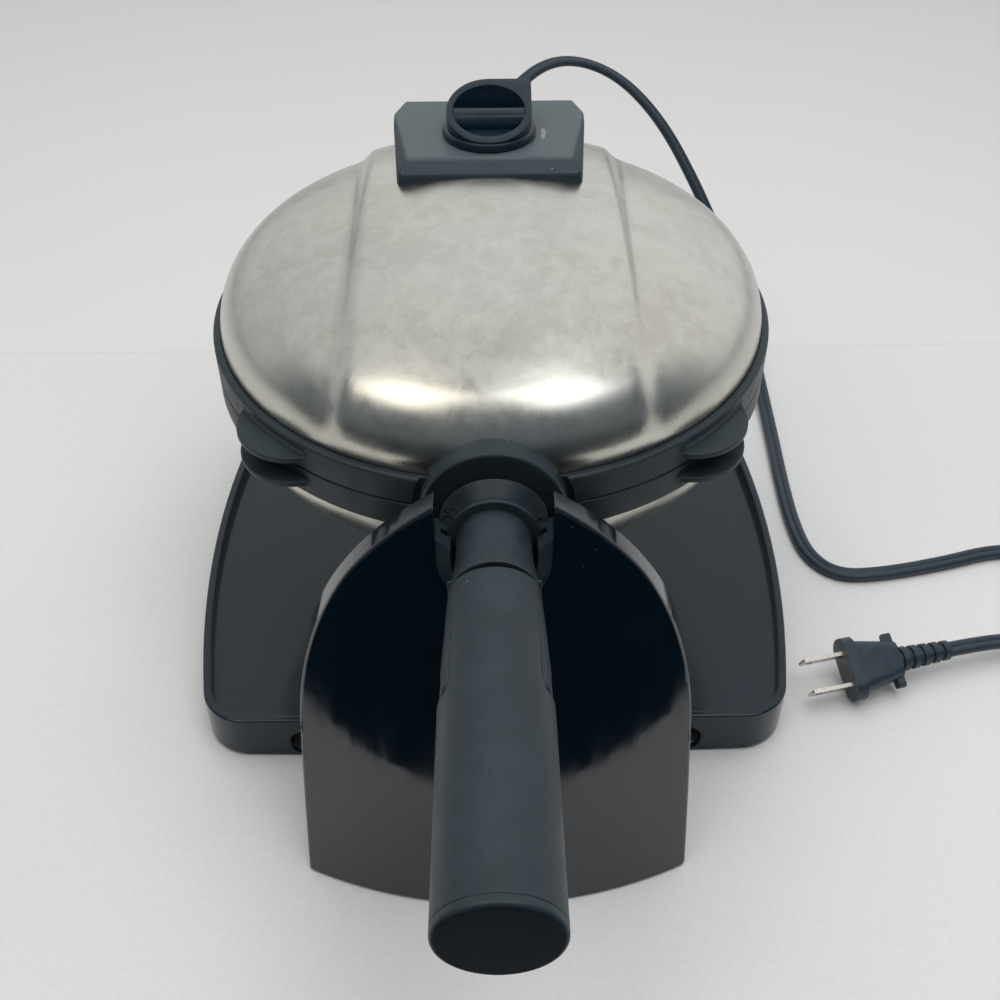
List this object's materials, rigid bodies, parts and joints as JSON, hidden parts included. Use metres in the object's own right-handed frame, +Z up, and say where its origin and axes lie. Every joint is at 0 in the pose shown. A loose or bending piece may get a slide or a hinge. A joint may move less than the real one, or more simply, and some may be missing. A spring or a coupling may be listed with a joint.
{
  "type": "waffle maker",
  "caption": "Rotating waffle maker: round head with a hinged lid that turns over in a fork pedestal, with folding handle, browning knob, drip tray and mains lead.",
  "frame": {"origin": "on the table under the middle of the object without its lead", "axes": "+Z up, +Y to the rear, from the handle to the lid hinge, +X to the right seen from the handle"},
  "size_m": [0.3821, 0.4623, 0.2047],
  "materials": {
    "cover_steel": "brushed",
    "matte_black": "matte",
    "gloss_black": "gloss",
    "knob_black": "satin",
    "grid_metal": "non-stick coated",
    "reflector_metal": "mill",
    "heater_steel": "dull",
    "screw_steel": "zinc",
    "blade_metal": "nickel",
    "cord_black": "satin vinyl",
    "foot_rubber": "matte"
  },
  "bodies": {
    "base": {"pedestal_shell": "gloss_black", "pedestal_back": "gloss_black", "bearing_cradle": "matte_black", "base_frame": "matte_black", "base_feet": "foot_rubber", "pedestal_screws": "screw_steel", "mains_cord": "cord_black", "plug_body": "cord_black", "plug_blades": "blade_metal"},
    "tray": {"drip_tray": "gloss_black"},
    "lower_head": {"lower_cover": "cover_steel", "lower_rim": "matte_black", "lower_grid": "grid_metal", "lower_element": "heater_steel", "lower_reflector": "reflector_metal", "lower_screws": "screw_steel", "handle_neck": "matte_black", "fold_pin": "screw_steel", "hinge_base": "matte_black", "hinge_pin": "screw_steel", "strain_relief": "cord_black"},
    "lid": {"upper_cover": "cover_steel", "upper_rim": "matte_black", "upper_grid": "grid_metal", "upper_element": "heater_steel", "upper_reflector": "reflector_metal", "upper_screws": "screw_steel", "lid_collar": "matte_black", "lid_hinge_arm": "matte_black", "control_housing": "matte_black", "thermostat": "heater_steel"},
    "knob": {"browning_knob": "knob_black", "knob_shaft": "screw_steel"},
    "grip": {"handle_grip": "matte_black", "grip_end_cap": "matte_black"}
  },
  "joints": [
    {"name": "head_flip", "type": "hinge", "parent": "base", "child": "lower_head", "pos_m": [0, 0.066, 0.129], "axis": [0, 1, 0], "range_deg": [-180, 0]},
    {"name": "lid_hinge", "type": "hinge", "parent": "lower_head", "child": "lid", "pos_m": [0, 0.174, 0.147], "axis": [-1, 0, 0], "range_deg": [0, 100]},
    {"name": "knob_turn", "type": "hinge", "parent": "lid", "child": "knob", "pos_m": [0, 0.096, 0.1936], "axis": [0, 0, 1], "range_deg": [-135, 135]},
    {"name": "grip_fold", "type": "hinge", "parent": "lower_head", "child": "grip", "pos_m": [0, -0.107, 0.129], "axis": [1, 0, 0], "range_deg": [0, 90]},
    {"name": "tray_slide", "type": "slide", "parent": "base", "child": "tray", "axis": [0, 1, 0], "range_m": [0, 0.12]}
  ]
}
